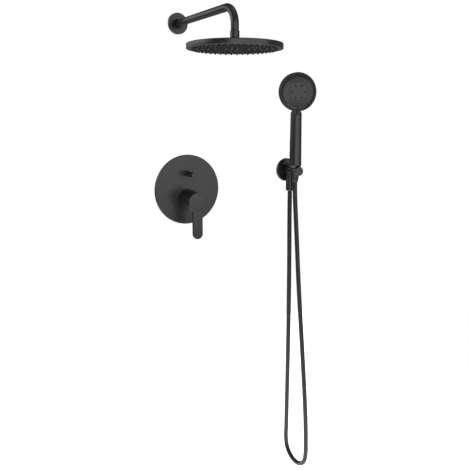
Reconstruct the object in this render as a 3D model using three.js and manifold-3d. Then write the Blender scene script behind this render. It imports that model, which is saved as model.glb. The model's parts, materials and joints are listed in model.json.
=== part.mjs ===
// Concealed rainfall shower set: rain head on a wall arm, single-lever diverter mixer, hand shower
// with its wall outlet and hose. Millimetres, +Z up. The finished wall face is the plane y = 0,
// the room lies towards -Y, and the origin is the centre of the mixer's cover plate on that wall.
import * as THREE from "three";
import { mergeVertices } from "three/addons/utils/BufferGeometryUtils.js";
import Module from "manifold-3d";

// Driving dimensions
const gap = 0.3; // clearance between touching pieces
const halfInchThread = 10.45; // radius of a G1/2 male thread
const halfInchBore = 9.4; // radius of a G1/2 female thread's bore

const rain = {
  x: -20,
  z: 412, // arm centreline above the origin
  reach: 287, // wall to the head's axis
  tube: 8.7,
  wall: 1.5,
  bend: 38,
  drop: 51, // arm centreline to the end of the tube
  flange: 25.5,
  flangeThick: 8,
  nut: 9.8,
  ball: 6.2,
  ballDrop: 63.3, // arm centreline to the ball's centre
  head: 100,
  headTop: 71, // arm centreline to the top of the head's boss
  rim: 11,
  rimDrop: 87.4, // arm centreline to the head's underside
};

const mixer = {
  plate: 90,
  plateThick: 6,
  leverZ: -26,
  diverterZ: 41,
  knob: 6.6,
  knobNeck: 5.6,
  knobEnd: 45,
  sleeve: 27,
  sleeveTip: 23.4, // the sleeve tapers from the plate to the lever
  sleeveEnd: 51,
  sleeveWall: 1.3,
  pivot: 26, // lever's lift axis in front of the wall
  lever: { disc: 24.8, paddle: 13.4, length: 94.6, fillet: 12, back: 58, front: 65, neck: 11 },
  portDepth: 34, // pipe axes behind the wall
  port: 13.5,
  portReach: 54,
};

const hand = {
  x: 310,
  z: 37, // axis of the wall outlet's barrel
  flange: 32.3,
  barrel: 12.5,
  barrelEnd: 63,
  capEnd: 68,
  outletOut: 23, // hose outlet's axis in front of the wall
  handsetOut: 47, // handset's axis in front of the wall
  turned: -17, // degrees the handset stands turned in its holder
  handleLow: 46.6,
  handleTop: 15.2,
  handleBottom: 16.7,
  head: 52,
  headZ: 252,
  jetRing: 18.2,
  coneTop: 11.6,
  coneBottom: 8.2,
  coneLow: 6,
  hose: 6.4,
  nut: 11.6,
  nutLow: -21,
};

// Hose centreline from the outlet's nut down and up to the handset's cone nut
const hoseRoute = [
  [310, -23, -21.3],
  [310, -23.2, -60],
  [310, -23.8, -120],
  [310, -25.2, -190],
  [310, -26.3, -270],
  [310, -26.8, -360],
  [310, -26.8, -450],
  [310, -26.2, -540],
  [310, -25.4, -618],
  [310, -24.7, -686],
  [310, -24.2, -741],
  [310, -24, -784],
  [310, -30.6, -808.8],
  [310, -48.8, -826.9],
  [310, -73.5, -833.5],
  [310, -98.3, -826.9],
  [310, -116.4, -808.8],
  [310, -123, -784],
  [310, -123.2, -740],
  [310, -120.8, -693],
  [310, -114.8, -626],
  [310, -105, -540],
  [310, -94, -450],
  [310, -82.6, -360],
  [310, -72, -270],
  [310, -64, -190],
  [310, -57, -120],
  [310, -50.8, -60],
  [310, -47.6, -20],
  [310, -47, 5.7],
];

// Finishes
const finish = (color, roughness, metalness) =>
  new THREE.MeshStandardMaterial({ color, roughness, metalness });
const matteBlack = finish(0x202021, 0.42, 0.35);
const blackPlastic = finish(0x1c1c1d, 0.5, 0);
const greySilicone = finish(0x3a3a3c, 0.65, 0);
const blackRubber = finish(0x141414, 0.8, 0);
const rawBrass = finish(0xb08d45, 0.38, 1);
const steel = finish(0xa8aaad, 0.3, 1);
const whiteAcetal = finish(0xe6e4dd, 0.45, 0);
const ceramic = finish(0xdcd9d2, 0.25, 0);
const greyFoam = finish(0x55575a, 0.9, 0);

const wasm = await Module();
wasm.setup();

function toSolid(geometry) {
  const bare = geometry.clone();
  bare.deleteAttribute("normal");
  bare.deleteAttribute("uv");
  const merged = mergeVertices(bare, 1e-3);
  return new wasm.Manifold(
    new wasm.Mesh({
      numProp: 3,
      vertProperties: merged.attributes.position.array,
      triVerts: new Uint32Array(merged.index.array),
    }),
  );
}

function toGeometry(solid) {
  const { vertProperties, triVerts } = solid.getMesh();
  const geometry = new THREE.BufferGeometry();
  geometry.setAttribute("position", new THREE.BufferAttribute(vertProperties, 3));
  geometry.setIndex(new THREE.BufferAttribute(triVerts, 1));
  geometry.computeVertexNormals();
  return geometry;
}

const joined = (...parts) => parts.map(toSolid).reduce((a, b) => a.add(b));
const cut = (solid, ...holes) =>
  toGeometry(holes.map(toSolid).reduce((a, b) => a.subtract(b), solid));

// A turned piece. Its profile of [radius, height] pairs is a closed loop or runs from axis to axis.
function turned(profile, sides = 16) {
  const points = profile.map(([r, h]) => new THREE.Vector2(r, h));
  if (THREE.ShapeUtils.area(points) < 0) points.reverse();
  return new THREE.LatheGeometry(points, sides);
}

const rod = (radius, low, high, sides) =>
  turned([[0, low], [radius, low], [radius, high], [0, high]], sides);
const ring = (inner, outer, low, high, sides) =>
  turned([[inner, low], [outer, low], [outer, high], [inner, high], [inner, low]], sides);
const taper = (low, lowRadius, high, highRadius, sides) =>
  turned([[0, low], [lowRadius, low], [highRadius, high], [0, high]], sides);

// An arc of profile points round [r, h], between two angles in degrees
function arc(r, h, radius, from, to, steps) {
  return Array.from({ length: steps + 1 }, (_, i) => {
    const angle = THREE.MathUtils.degToRad(from + ((to - from) * i) / steps);
    return [r + radius * Math.cos(angle), h + radius * Math.sin(angle)];
  });
}

// Turned pieces stand on three.js's own Y axis until one of these lays them down
const outward = (geometry) => geometry.rotateX(Math.PI);
const upward = (geometry) => geometry.rotateX(Math.PI / 2);
const rightward = (geometry) => geometry.rotateZ(-Math.PI / 2);
const block = (width, depth, height, x, y, z) =>
  new THREE.BoxGeometry(width, depth, height).translate(x, y, z);

function put(group, name, geometry, material, x = 0, y = 0, z = 0) {
  const mesh = new THREE.Mesh(geometry, material);
  mesh.name = name;
  mesh.position.set(x, y, z);
  group.add(mesh);
}

// A path whose sections stand exactly at the given points
class Stations extends THREE.Curve {
  constructor(points) {
    super();
    this.points = points;
    this.smooth = new THREE.CatmullRomCurve3(points);
  }
  getPointAt(u) {
    return this.points[Math.round(u * (this.points.length - 1))];
  }
  getTangentAt(u) {
    return this.smooth.getTangent(u);
  }
}

function tube(points, radius, sides, bore = 0) {
  const section = new THREE.Shape().absarc(0, 0, radius, 0, 2 * Math.PI);
  if (bore) section.holes.push(new THREE.Path().absarc(0, 0, bore, 0, 2 * Math.PI, true));
  return new THREE.ExtrudeGeometry(section, {
    curveSegments: sides / 2,
    steps: points.length - 1,
    extrudePath: new Stations(points),
  });
}

// A round wall flange: a shallow cup whose rim stands just off the wall
function flangeCup(radius, bore, thick, sides = 28) {
  const edge = 1.6;
  const skin = 2.2;
  return outward(
    turned(
      [
        [bore, thick - skin],
        [radius - skin, thick - skin],
        [radius - skin, 0.4],
        [radius, 0.4],
        ...arc(radius - edge, thick - edge, edge, 0, 90, 2),
        [bore, thick],
        [bore, thick - skin],
      ],
      sides,
    ),
  );
}

function rainGroup() {
  const group = new THREE.Group();
  group.position.set(rain.x, 0, rain.z);
  const { tube: tubeR, wall, reach, bend, drop, nut, ball, ballDrop } = rain;
  const bore = tubeR - wall;

  const bendPoints = Array.from({ length: 8 }, (_, i) => {
    const angle = (i * Math.PI) / 14;
    const out = reach - bend + bend * Math.sin(angle);
    return new THREE.Vector3(0, -out, bend * Math.cos(angle) - bend);
  });
  const straight = [gap - 0.5, 60, 160, reach - bend - 12].map((h) => new THREE.Vector3(0, -h, 0));
  const down = [bend + 5, drop].map((z) => new THREE.Vector3(0, -reach, -z));
  put(group, "arm_tube", tube([...straight, ...bendPoints, ...down], tubeR, 14, bore), matteBlack);

  put(group, "arm_flange", flangeCup(rain.flange, tubeR + 0.35, rain.flangeThick), matteBlack);
  put(group, "arm_gasket", outward(ring(13, 22.2, 0, 1.7, 24)), greyFoam);
  put(group, "arm_flange_o_ring", outward(ring(tubeR + 0.2, 11.2, 1.9, 4.3, 24)), blackRubber);
  put(group, "arm_inlet_thread", outward(ring(6, halfInchThread, -24, -0.5)), rawBrass);

  const axis = (name, geometry, material) => put(group, name, upward(geometry), material, 0, -reach);
  const nippleEnd = -drop - 4.6;
  axis(
    "arm_outlet_nipple",
    turned([
      [5, -38],
      [bore - gap, -38],
      [bore - gap, -drop - gap],
      [8.2, -drop - gap],
      [8.2, nippleEnd],
      [5, nippleEnd],
      [5, -38],
    ]),
    rawBrass,
  );
  const lip = ballDrop + 2.7;
  axis(
    "union_nut",
    turned([
      [8.5, -drop - gap],
      [nut - 0.4, -drop - gap],
      [nut, -drop - 0.7],
      [nut, -lip + 2],
      [8, -lip],
      [5.95, -lip],
      ...arc(0, -ballDrop, ball + 0.3, -24, 12, 3),
      [8.5, -lip + 4.6],
      [8.5, -drop - gap],
    ]),
    matteBlack,
  );
  axis("ball_washer", ring(4.2, 7.9, -ballDrop + 4.9, nippleEnd - gap, 24), blackRubber);
  axis(
    "swivel_ball",
    turned([
      [2.6, -ballDrop + 5.6],
      ...arc(0, -ballDrop, ball, 65, -42, 6),
      [4.6, -69],
      [7, -69],
      [7, -70.7],
      [5.9, -70.7],
      [5.9, -79.8],
      [2.6, -79.8],
      [2.6, -ballDrop + 5.6],
    ]),
    matteBlack,
  );
  headPieces(axis);
  return group;
}

// The rain head: a thin shell, its seal, the face ring and the silicone mat with two raised rows
function headPieces(axis) {
  const { head, headTop, rimDrop, rim } = rain;
  axis(
    "head_upper_shell",
    turned(
      [
        [6.2, -headTop],
        [11, -headTop],
        [12.5, -73.4],
        [60, -75],
        [head - 1.6, -rimDrop + rim],
        [head, -rimDrop + rim - 1.6],
        [head, -rimDrop + 0.8],
        [head - 0.8, -rimDrop],
        [head - 3, -rimDrop],
        [head - 3, -79.5],
        [12.5, -75.4],
        [12.5, -80],
        [6.2, -80],
        [6.2, -headTop],
      ],
      40,
    ),
    matteBlack,
  );
  axis("head_flow_limiter", ring(1.6, 5.6, -82.4, -80.4, 20), whiteAcetal);
  axis("head_seal", ring(93.6, head - 3.4, -82, -80.4, 32), blackRubber);
  const face = -rimDrop + 0.4;
  axis(
    "head_face_ring",
    turned(
      [
        [90, face],
        [96.6, face],
        [96.6, -82.4],
        [94.6, -82.4],
        [94.6, -85.4],
        [90, -85.4],
        [90, face],
      ],
      40,
    ),
    matteBlack,
  );
  const rows = [40, 76];
  const matFace = face + 0.2;
  const tips = face - 1.2;
  const ridges = rows.flatMap((r) => [
    [r - 1.5, matFace],
    [r - 1, tips],
    [r + 1, tips],
    [r + 1.5, matFace],
  ]);
  axis(
    "head_nozzle_mat",
    turned(
      [
        [0, matFace],
        ...ridges,
        [89.6, matFace],
        [89.6, -85.1],
        [94.2, -85.1],
        [94.2, -83.6],
        [0, -83.6],
      ],
      32,
    ),
    greySilicone,
  );
}

function leverOutline({ disc, paddle, length, fillet }) {
  const filletX = paddle + fillet;
  const filletY = -Math.sqrt((disc + fillet) ** 2 - filletX ** 2);
  const meet = Math.atan2(filletY, filletX);
  const tip = -length + paddle;
  return new THREE.Shape()
    .moveTo(paddle, tip)
    .lineTo(paddle, filletY)
    .absarc(filletX, filletY, fillet, Math.PI, Math.PI + meet, true)
    .absarc(0, 0, disc, meet, Math.PI - meet, false)
    .absarc(-filletX, filletY, fillet, -meet, 0, true)
    .lineTo(-paddle, tip)
    .absarc(0, tip, paddle, Math.PI, 2 * Math.PI, false);
}

const grubOut = 50; // the lever's grub screw in front of the wall

function leverGeometry() {
  const { back, front, neck } = mixer.lever;
  const edge = 1;
  const plate = new THREE.ExtrudeGeometry(leverOutline(mixer.lever), {
    depth: front - back - 2 * edge,
    bevelThickness: edge,
    bevelSize: edge,
    bevelOffset: -edge,
    bevelSegments: 1,
    curveSegments: 8,
  });
  plate.rotateX(Math.PI / 2).translate(0, -back - edge, 0);
  const hub = outward(rod(neck, 38, back + 1));
  const socket = block(8.6, 20, 8.6, 0, -47.3, 0);
  const grubHole = upward(rod(2.2, -neck - 1, 0, 12)).translate(0, -grubOut, 0);
  return cut(joined(plate, hub), socket, grubHole);
}

// The brass body in the wall: cartridge tower, diverter chamber, four pipe ports and their passages
function valveBody() {
  const { leverZ, diverterZ, portDepth, port, portReach } = mixer;
  const top = 74;
  const bottom = -78;
  const at = (geometry, x, z) => geometry.translate(x, 0, z);
  const sideways = (geometry) => rightward(geometry).translate(0, portDepth, leverZ);
  const outside = joined(
    at(outward(rod(25, -52, -6, 24)), 0, leverZ),
    at(outward(rod(20.5, -7, 28, 24)), 0, leverZ),
    at(outward(rod(17, -50, -6)), 0, diverterZ),
    block(34, 36, 66, 0, 32, 7),
    sideways(rod(port, -portReach, portReach)),
    upward(rod(port, bottom, top)).translate(0, portDepth, 0),
    block(76, 8, 12, 0, 12, 7),
    block(84, 6, 14, 0, 49, 7),
  );
  const tapped = 16;
  const holes = [
    at(outward(rod(17.8, -8, 30, 24)), 0, leverZ),
    at(outward(rod(12.2, -44, 0)), 0, diverterZ),
    sideways(rod(halfInchBore, -portReach - 1, tapped - portReach)),
    sideways(rod(halfInchBore, portReach - tapped, portReach + 1)),
    sideways(rod(5.5, -portReach, -7, 12)),
    sideways(rod(5.5, 7, portReach, 12)),
    at(outward(rod(3.6, -portDepth, 0, 10)), -9, leverZ),
    at(outward(rod(3.6, -portDepth, 0, 10)), 9, leverZ),
    upward(rod(halfInchBore, top - tapped, top + 1, 16)).translate(0, portDepth, 0),
    upward(rod(halfInchBore, bottom - 1, bottom + tapped, 16)).translate(0, portDepth, 0),
    upward(rod(6, diverterZ, top, 12)).translate(0, portDepth, 0),
    upward(rod(4.4, bottom + 8, diverterZ, 12)).translate(0, 45, 0),
    upward(rod(4.4, leverZ + 8, diverterZ, 12)).translate(0, 17, 0),
    at(outward(rod(4.4, -17, 0, 10)), 0, leverZ + 10),
    ...[-32, 32].map((x) => at(outward(rod(1.7, -17, 0, 8)), x, 7)),
    ...[-36, 36].map((x) => at(outward(rod(2.8, -60, -40, 8)), x, 7)),
  ];
  return cut(outside, ...holes);
}

function mixerGroup() {
  const group = new THREE.Group();
  const { plate, plateThick, leverZ, diverterZ, sleeve } = mixer;
  const screwX = 32;
  const strapZ = 7;
  const skin = 2;
  const edge = 1.8;

  const plateDisc = outward(
    turned(
      [
        [0, plateThick - skin],
        [plate - skin, plateThick - skin],
        [plate - skin, 0.4],
        [plate, 0.4],
        ...arc(plate - edge, plateThick - edge, edge, 0, 90, 2),
        [0, plateThick],
      ],
      48,
    ),
  );
  put(
    group,
    "cover_plate",
    cut(
      toSolid(plateDisc),
      outward(rod(sleeve + 0.4, 0, 10, 32)).translate(0, 0, leverZ),
      outward(rod(8.2, 0, 10, 20)).translate(0, 0, diverterZ),
    ),
    matteBlack,
  );
  put(group, "plate_gasket", outward(ring(81, plate - skin - 0.6, 0, 3.4, 32)), greyFoam);
  put(
    group,
    "plate_carrier",
    cut(
      toSolid(block(78, 1.6, 30, 0, 1.1, strapZ)),
      outward(rod(sleeve + 0.2, -5, 5, 40)).translate(0, 0, leverZ),
      outward(rod(15.6, -5, 5)).translate(0, 0, diverterZ),
      ...[-screwX, screwX].map((x) => outward(rod(2.4, -5, 5, 12)).translate(x, 0, strapZ)),
    ),
    steel,
  );
  put(group, "valve_body", valveBody(), rawBrass);

  cartridgePieces(group);
  sleeveAndLever(group);
  for (const [name, x] of [["carrier_screw_left", -screwX], ["carrier_screw_right", screwX]]) {
    const screw = turned([[0, -15], [1.4, -15], [1.4, 0.6], [3.4, 0.6], [3.4, 2.6], [0, 2.6]]);
    put(group, name, outward(screw), steel, x, 0, strapZ);
  }
  const valveLength = 9;
  const valveInner = mixer.portReach - 15.5;
  const valves = { hot_check_valve: -valveInner - valveLength, cold_check_valve: valveInner };
  for (const [name, start] of Object.entries(valves)) {
    const valve = rightward(ring(3.2, 8.9, start, start + valveLength, 20));
    put(group, name, valve, whiteAcetal, 0, mixer.portDepth, leverZ);
  }
  diverterPieces(group);
  return group;
}

// A 35 mm cartridge: its body, two ceramic discs, and the pivoted stem that slides the outer one
function cartridgePieces(group) {
  const { leverZ, pivot } = mixer;
  const onLever = (name, geometry, material) => put(group, name, geometry, material, 0, 0, leverZ);
  const pinHole = () => rightward(rod(1.8, -20, 20, 12)).translate(0, -pivot, 0);
  const stem = 8;
  onLever("cartridge_seal", outward(ring(12, 17.2, -7.6, -6.4)), blackRubber);
  const cup = turned([
    [4, -6],
    [17.4, -6],
    [17.4, 24],
    [15.6, 24],
    [15.6, 29.6],
    [12.7, 29.6],
    [12.7, 19.6],
    [15.5, 19.6],
    [15.5, -2],
    [4, -2],
    [4, -6],
  ]);
  onLever("cartridge_body", outward(cup), blackPlastic);
  onLever("ceramic_disc_fixed", outward(ring(2.5, 15.2, -1.7, 4.8)), ceramic);
  const socket = outward(rod(3.8, 9.6, 20, 20));
  onLever("ceramic_disc_moving", cut(toSolid(outward(rod(10.5, 5.1, 15.6))), socket), ceramic);
  const carrier = toSolid(outward(rod(12.4, 19.9, 30.6)));
  const slot = block(stem + 0.6, 20, 16.5, 0, -25, 0);
  onLever("cartridge_carrier", cut(carrier, slot, pinHole()), whiteAcetal);
  const stemSolid = joined(
    block(stem, 38.5, stem, 0, -37.25, 0),
    outward(taper(14, 2, 19, 3.9, 12)),
    outward(rod(2.9, 11, 15)),
  );
  onLever("cartridge_stem", cut(stemSolid, pinHole()), steel);
  put(group, "stem_pin", rightward(rod(1.5, -12, 12, 12)), steel, 0, -pivot, leverZ);
}

// The clamping nut, the round sleeve with its inner web and front lip, and the lever
function sleeveAndLever(group) {
  const { leverZ, sleeve, sleeveTip, sleeveEnd, sleeveWall } = mixer;
  const nut = turned(
    [
      [20.8, 16],
      [21.8, 16],
      [21.8, 32],
      [14.2, 32],
      [14.2, 29.9],
      [18.6, 29.9],
      [18.6, 28.3],
      [20.8, 28.3],
      [20.8, 16],
    ],
    24,
  );
  put(group, "cartridge_nut", outward(nut), matteBlack, 0, 0, leverZ);
  const straight = 8; // the foot that passes through the plate
  const inside = sleeve - sleeveWall;
  const web = 22.1;
  const shape = turned(
    [
      [inside, 2.4],
      [sleeve, 2.4],
      [sleeve, straight],
      [sleeveTip, sleeveEnd - 0.6],
      [sleeveTip - 0.6, sleeveEnd],
      [sleeveTip - sleeveWall, sleeveEnd],
      [web, 33],
      [web, straight],
      [inside, 6],
      [inside, 2.4],
    ],
    28,
  );
  put(group, "mixer_sleeve", outward(shape), matteBlack, 0, 0, leverZ);
  put(group, "sleeve_o_ring", outward(ring(20.75, web - 0.25, 8, 10.2, 24)), blackRubber, 0, 0, leverZ);
  put(group, "lever", leverGeometry(), matteBlack, 0, 0, leverZ);
  put(group, "lever_grub_screw", upward(rod(1.9, -10.6, -4.6, 12)), steel, 0, -grubOut, leverZ);
}

function diverterPieces(group) {
  const { diverterZ, knob, knobNeck, knobEnd } = mixer;
  const divert = (name, geometry, material) =>
    put(group, name, outward(geometry), material, 0, 0, diverterZ);
  const spindle = 4;
  const bore = spindle + gap;
  divert(
    "diverter_bonnet",
    turned([
      [bore, -17],
      [11.9, -17],
      [11.9, -5.7],
      [14.6, -5.7],
      [14.6, -0.5],
      [bore, -0.5],
      [bore, -17],
    ]),
    rawBrass,
  );
  divert(
    "diverter_piston",
    turned([
      [bore, -34],
      [10.4, -34],
      [10.4, -31.4],
      [9.2, -31.4],
      [9.2, -28.6],
      [10.4, -28.6],
      [10.4, -26],
      [bore, -26],
      [bore, -34],
    ]),
    rawBrass,
  );
  divert("diverter_piston_seal", ring(9.5, 11.8, -31, -29), blackRubber);
  const spindleEnd = 24;
  divert("diverter_spindle", rod(spindle, -42, spindleEnd, 20), steel);
  divert("diverter_bush", ring(knobNeck + gap, 8, 3.2, 8.5, 32), matteBlack);
  divert(
    "diverter_knob",
    turned(
      [
        [0, spindleEnd + gap],
        [bore, spindleEnd + gap],
        [bore, 6.8],
        [knobNeck, 6.8],
        [knobNeck, 16],
        [knob, 16.6],
        ...arc(knob - 0.6, knobEnd - 0.6, 0.6, 0, 90, 2),
        [0, knobEnd],
      ],
      20,
    ),
    matteBlack,
  );
}

function handGroup() {
  const group = new THREE.Group();
  const { x, z, flange, barrel, barrelEnd, capEnd, outletOut, handsetOut } = hand;
  const place = (name, geometry, material, out) =>
    put(group, name, geometry, material, x, -out, out ? 0 : z);

  place("bracket_flange", flangeCup(flange, barrel + 0.4, 6.5), matteBlack, 0);
  place("bracket_gasket", outward(ring(15, flange - 2.8, 0, 1.9, 24)), greyFoam, 0);
  place("bracket_o_ring", outward(ring(barrel + 0.2, 14.6, 0.9, 3.9, 24)), blackRubber, 0);

  const cupLow = 25;
  const cupHigh = 45.8;
  const capStem = 60;
  const barrelSolid = joined(
    outward(rod(halfInchThread, -22, 0.5)).translate(x, 0, z),
    outward(rod(barrel, 0, barrelEnd, 28)).translate(x, 0, z),
    upward(rod(14.2, cupLow, cupHigh, 28)).translate(x, -handsetOut, 0),
    upward(rod(10.8, 19.6, z, 24)).translate(x, -outletOut, 0),
  );
  put(
    group,
    "outlet_body",
    cut(
      barrelSolid,
      outward(rod(6, -23, 27, 24)).translate(x, 0, z),
      upward(rod(7.6, 18, z, 24)).translate(x, -outletOut, 0),
      upward(rod(12.9, cupLow - 1, cupHigh + 1, 24)).translate(x, -handsetOut, 0),
      block(40, 60, 40, x, -handsetOut, cupHigh + 20),
      block(30, 17, 60, x + 15, -handsetOut, z),
      outward(rod(4, capStem, barrelEnd + 1)).translate(x, 0, z),
    ),
    matteBlack,
  );
  const capDisc = turned(
    [
      [0, barrelEnd + gap],
      [barrel, barrelEnd + gap],
      ...arc(barrel - 1, capEnd - 1, 1, 0, 90, 3),
      [0, capEnd],
    ],
    28,
  );
  const cap = cut(joined(outward(rod(3.7, capStem + gap, barrelEnd + 1)), outward(capDisc)));
  place("bracket_cap", cap, matteBlack, 0);
  const linerCup = turned(
    [
      [11.2, cupLow + 0.2],
      [12.6, cupLow + 0.2],
      [12.6, cupHigh],
      [12.1, cupHigh],
      [11.2, cupLow + 0.2],
    ],
    24,
  );
  const liner = cut(toSolid(upward(linerCup)), block(30, 16, 60, 15, 0, 30));
  place("holder_liner", liner, blackPlastic, handsetOut);

  const nipple = turned([
    [4.5, 8],
    [9.9, 8],
    [9.9, 19.2],
    [7.3, 19.2],
    [7.3, 28.5],
    [4.5, 28.5],
    [4.5, 8],
  ]);
  place("outlet_nipple", upward(nipple), rawBrass, outletOut);
  place("outlet_check_valve", upward(ring(1.6, 4.2, 12, 22, 16)), whiteAcetal, outletOut);
  place("outlet_washer", upward(ring(5, 9.8, 5.8, 7.7, 20)), blackRubber, outletOut);
  const { nut, nutLow, hose, coneTop, coneBottom, coneLow, handleLow } = hand;
  const hoseNut = turned([
    [4.4, nutLow + 0.5],
    [nut - 1.4, nutLow],
    [nut, nutLow + 2],
    [nut, 18.2],
    [nut - 0.6, 19],
    [10.2, 19],
    [10.2, 5.4],
    [4.4, 5.4],
    [4.4, nutLow + 0.5],
  ]);
  place("outlet_hose_nut", upward(hoseNut), matteBlack, outletOut);
  const hosePoints = hoseRoute.map((p) => new THREE.Vector3(...p));
  put(group, "hose", tube(hosePoints, hose, 10), matteBlack);
  const coneNut = turned([
    [4.4, coneLow],
    [coneBottom, coneLow],
    [10.95, cupLow],
    [coneTop, handleLow - 0.6],
    [10.8, handleLow - 0.6],
    [10.8, 31.4],
    [4.4, 31.4],
    [4.4, coneLow],
  ]);
  place("handset_cone_nut", upward(coneNut), matteBlack, handsetOut);
  place("handset_washer", upward(ring(5, 10.4, 31.7, 33.5, 20)), blackRubber, handsetOut);
  group.add(handset());
  return group;
}

// The handset is modelled facing -Y on its own axis, then stood turned in the holder
function handset() {
  const group = new THREE.Group();
  group.position.set(hand.x, -hand.handsetOut, 0);
  group.rotation.z = THREE.MathUtils.degToRad(hand.turned);
  const { head, headZ, jetRing, handleLow, handleTop, handleBottom } = hand;
  const faceOn = (geometry) => outward(geometry).translate(0, 0, headZ);

  const handle = upward(
    turned(
      [
        [0, 34],
        [10.3, 34],
        [10.3, handleLow],
        [14.4, handleLow],
        [handleBottom, handleLow + 6],
        [handleTop, 190],
        [13.8, 206],
        [9, 222],
        [0, 228],
      ],
      24,
    ),
  );
  const shell = faceOn(
    turned(
      [
        [0, -11],
        [20, -10.4],
        [36, -8],
        [46, -4],
        [head - 0.8, 0],
        [head, 2],
        [head, 11.6],
        [0, 11.6],
      ],
      40,
    ),
  );
  const chamber = faceOn(rod(46.4, 1, 20, 32));
  const waterway = upward(rod(6.5, 33, headZ - 30, 24));
  const crossway = faceOn(rod(5, -4, 2, 20));
  const frontSpace = faceOn(rod(head + 0.4, 11.65, 30, 40));
  const neckChannel = block(13, 14, 34, 0, 0, headZ - 42);
  const holes = [chamber, frontSpace, waterway, crossway, neckChannel];
  put(group, "handset_body", cut(joined(handle, shell), ...holes), matteBlack);
  put(group, "handset_inlet_screen", upward(ring(1.2, 6, 34.5, 36.5, 20)), whiteAcetal);
  const rotor = turned([[0, 2.4], [40, 2.4], [40, 5.4], [9, 5.4], [9, 8.6], [0, 8.6]], 24);
  put(group, "spray_rotor", faceOn(rotor), blackPlastic);
  put(group, "handset_nozzle_mat", faceOn(ring(10, 43.5, 9, 11.2, 28)), greySilicone);
  const face = faceOn(
    turned([[0, 11.8], [46, 11.8], [46, 14], [36, 16.6], [20, 18.6], [0, 19.2]], 32),
  );
  const jets = Array.from({ length: 6 }, (_, i) => {
    const angle = (i * Math.PI) / 3;
    const jet = faceOn(rod(2, 10, 25, 8));
    return jet.translate(jetRing * Math.cos(angle), 0, jetRing * Math.sin(angle));
  });
  put(group, "handset_face_plate", cut(toSolid(face), ...jets), matteBlack);
  const band = [[46.4, 12], [head, 12], [head, 14.4], [head - 1.2, 15.6], [46.4, 14.6], [46.4, 12]];
  const tabZ = headZ - head - 1;
  const tab = block(7, 3.4, 9, 0, -17.4, tabZ);
  const selector = cut(joined(faceOn(turned(band, 40)), tab, block(7, 4, 3.5, 0, -15, tabZ + 3.2)));
  put(group, "spray_selector", selector, blackPlastic);
  return group;
}

const shower = new THREE.Group();
shower.add(rainGroup(), mixerGroup(), handGroup());
export default shower;
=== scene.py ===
import bmesh
import bpy
import json
import math
from mathutils import Matrix, Vector


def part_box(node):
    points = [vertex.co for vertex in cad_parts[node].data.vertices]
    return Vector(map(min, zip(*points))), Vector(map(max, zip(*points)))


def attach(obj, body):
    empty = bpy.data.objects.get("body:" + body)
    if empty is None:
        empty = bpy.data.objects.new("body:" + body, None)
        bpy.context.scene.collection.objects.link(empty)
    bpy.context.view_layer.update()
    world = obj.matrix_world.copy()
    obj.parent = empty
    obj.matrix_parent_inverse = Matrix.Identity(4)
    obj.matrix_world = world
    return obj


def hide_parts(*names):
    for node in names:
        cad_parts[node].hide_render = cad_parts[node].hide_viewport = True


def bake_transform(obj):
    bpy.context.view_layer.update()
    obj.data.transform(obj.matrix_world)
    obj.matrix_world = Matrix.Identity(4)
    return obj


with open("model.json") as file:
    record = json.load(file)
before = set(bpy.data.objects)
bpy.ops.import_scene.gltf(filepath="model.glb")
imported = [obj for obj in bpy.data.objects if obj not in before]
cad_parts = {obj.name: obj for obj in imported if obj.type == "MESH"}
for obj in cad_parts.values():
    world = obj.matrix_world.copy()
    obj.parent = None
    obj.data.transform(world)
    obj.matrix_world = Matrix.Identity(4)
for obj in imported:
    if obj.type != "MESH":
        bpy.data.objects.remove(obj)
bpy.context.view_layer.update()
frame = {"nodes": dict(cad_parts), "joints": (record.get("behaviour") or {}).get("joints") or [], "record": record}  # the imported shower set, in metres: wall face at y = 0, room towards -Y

joints = {joint["name"]: joint for joint in frame["joints"]}
print("frame loaded:", len(frame["nodes"]), "nodes")


# ---- camera

cameraValues = {
    "place": (-0.6177, -1.3371, 0.1947),
    "turn": -29.67,  # degrees round Z, looking into the wall from the left
    "lookDown": 9.64,
    "lens": 43.58,
    "shift": -0.0532,
}


def buildCamera(values):
    data = bpy.data.cameras.new("camera")
    data.lens = values["lens"]
    data.shift_y = values["shift"]
    data.clip_end = 200
    camera = bpy.data.objects.new("camera", data)
    camera.location = values["place"]
    camera.rotation_euler = (math.radians(90 - values["lookDown"]), 0, math.radians(values["turn"]))
    bpy.context.scene.collection.objects.link(camera)
    bpy.context.scene.camera = camera


buildCamera(cameraValues)


# ---- working habits

def deselectAll():
    bpy.ops.object.select_all(action="DESELECT")


def activate(piece):
    deselectAll()
    piece.select_set(True)
    bpy.context.view_layer.objects.active = piece


def boxOf(node):
    low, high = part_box(node)
    return low, high, (low + high) / 2, high - low


def finishPlace(piece, name):
    piece.name = piece.data.name = name
    bpy.ops.object.transform_apply(location=True, rotation=True, scale=True)
    return piece


def drawLine(name, points):
    # a point pulled along its route, as a profile or an outline is drawn by hand
    deselectAll()
    bpy.ops.mesh.primitive_plane_add(size=0.01, location=points[0])
    piece = finishPlace(bpy.context.object, name)
    bpy.ops.object.mode_set(mode="EDIT")
    bpy.ops.mesh.select_all(action="SELECT")
    bpy.ops.mesh.merge(type="CENTER")
    for here, there in zip(points, points[1:]):
        step = Vector(there) - Vector(here)
        bpy.ops.mesh.extrude_region_move(TRANSFORM_OT_translate={"value": step})
    return piece


def closeUp():
    bpy.ops.mesh.select_all(action="SELECT")
    bpy.ops.mesh.remove_doubles(threshold=2e-6)
    bpy.ops.mesh.normals_make_consistent(inside=False)
    bpy.ops.object.mode_set(mode="OBJECT")


def spinLine(name, points, centre, axis, steps):
    piece = drawLine(name, points)
    bpy.ops.mesh.select_all(action="SELECT")
    bpy.ops.mesh.spin(steps=steps, angle=2 * math.pi, center=centre, axis=axis)
    closeUp()
    return piece


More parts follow.
